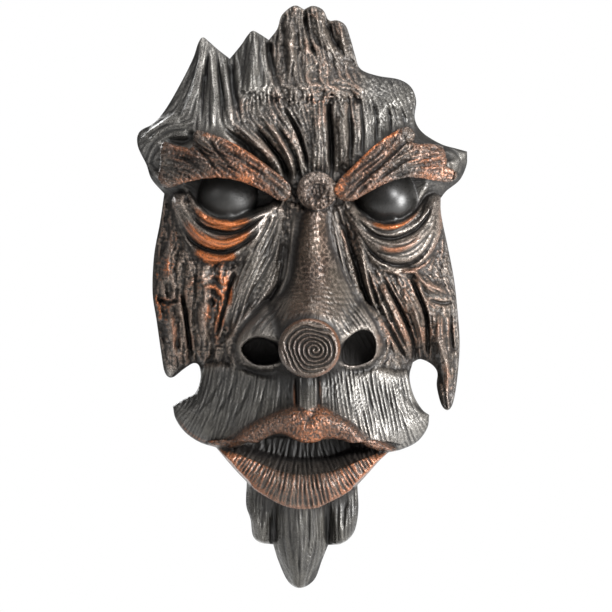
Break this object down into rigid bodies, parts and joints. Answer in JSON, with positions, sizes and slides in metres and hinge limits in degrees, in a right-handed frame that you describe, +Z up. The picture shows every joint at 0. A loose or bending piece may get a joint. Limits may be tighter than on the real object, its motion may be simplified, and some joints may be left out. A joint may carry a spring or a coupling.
{
  "type": "tree face sculpture",
  "caption": "Hollow-backed wall sculpture: a stern bark-skinned tree face with a sawn branch end for a nose, cast in dark resin with copper highlights.",
  "frame": {"origin": "middle of the flat pad on the back, which bears on the wall behind the forehead; the wall plane is y = 0", "axes": "+Z up the face, +Y out of the back into the wall, so the face looks along -Y; +X to the viewer's right"},
  "size_m": [0.2145, 0.098, 0.3783],
  "materials": {
    "dark_bronze_resin": "graphite to bronze-black patina with a low metallic sheen, copper-orange rubbed over the brows, eye bags, bark edges and lips"
  },
  "bodies": {
    "root": {"tree_face": "dark_bronze_resin"}
  },
  "joints": []
}
